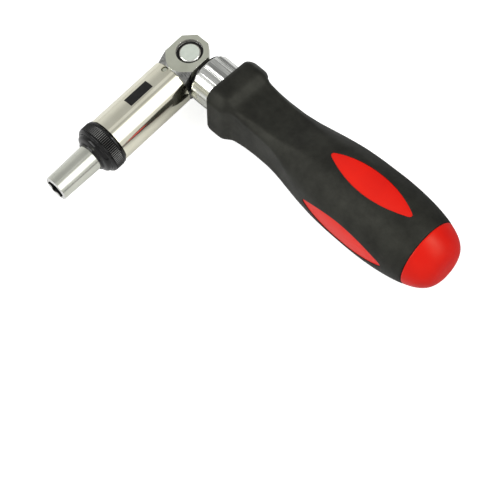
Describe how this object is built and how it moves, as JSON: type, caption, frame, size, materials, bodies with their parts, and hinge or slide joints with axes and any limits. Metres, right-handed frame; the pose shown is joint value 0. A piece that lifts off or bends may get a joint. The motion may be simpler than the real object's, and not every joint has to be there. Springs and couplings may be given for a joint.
{
  "type": "offset screwdriver",
  "caption": "Folding-head ratchet screwdriver: hex bit socket in a barrel that folds on a lockable joint against a soft-grip handle, shown at a right angle.",
  "frame": {"origin": "centre of the bit socket's mouth", "axes": "-Y points out of the bit socket along the barrel's axis; the fold axis is parallel to Z; +X runs from the fold axis along the handle to its butt"},
  "size_m": [0.1224, 0.0779, 0.0292],
  "materials": {
    "bright_steel": "polished",
    "nickel": "polished, warm nickel plating",
    "satin_steel": "satin",
    "pale_steel": "matt",
    "dark_steel": "black oxide",
    "black_steel": "glossy black oxide",
    "black_gloss": "glossy black",
    "black_rubber": "matt soft overmould",
    "red_plastic": "smooth, slightly glossy"
  },
  "bodies": {
    "handle": {"shank": "satin_steel", "spring_seat": "bright_steel", "sleeve_spring": "bright_steel", "handle_core": "red_plastic", "rubber_grip": "black_rubber", "end_cap": "red_plastic"},
    "sleeve": {"lock_sleeve": "bright_steel", "lock_ring": "black_gloss"},
    "head": {"yoke": "satin_steel", "yoke_pin": "satin_steel", "pivot_pin": "pale_steel", "barrel": "nickel", "gear_case": "bright_steel", "pawl_pin": "dark_steel", "selector_clip": "dark_steel"},
    "selector": {"selector_ring": "black_steel", "detent_ball": "bright_steel", "detent_spring": "bright_steel"},
    "pawl": {"pawl": "dark_steel"},
    "spindle": {"bit_holder": "bright_steel", "bit_magnet": "dark_steel", "thrust_washer": "bright_steel", "spindle_clip": "dark_steel"}
  },
  "joints": [
    {"name": "head_fold", "type": "hinge", "parent": "handle", "child": "head", "pos_m": [0, 0.0633, 0], "axis": [0, 0, 1], "range_deg": [-180, 0]},
    {"name": "sleeve_slide", "type": "slide", "parent": "handle", "child": "sleeve", "axis": [1, 0, 0], "range_m": [0, 0.003], "stiffness_N_per_m": 600, "springref_m": -0.004, "deforming": ["sleeve_spring"]},
    {"name": "selector_turn", "type": "hinge", "parent": "head", "child": "selector", "pos_m": [0, 0, 0], "axis": [0, 1, 0], "range_deg": [-20, 20]},
    {"name": "pawl_rock", "type": "hinge", "parent": "head", "child": "pawl", "pos_m": [0, 0.0216, 0.0046], "axis": [0, 1, 0], "range_deg": [-11, 11]},
    {"name": "spindle_spin", "type": "hinge", "parent": "head", "child": "spindle", "pos_m": [0, 0, 0], "axis": [0, 1, 0], "continuous": true}
  ],
  "couplings": [
    {"joint": "pawl_rock", "follows": "selector_turn", "ratio": 0.5}
  ]
}
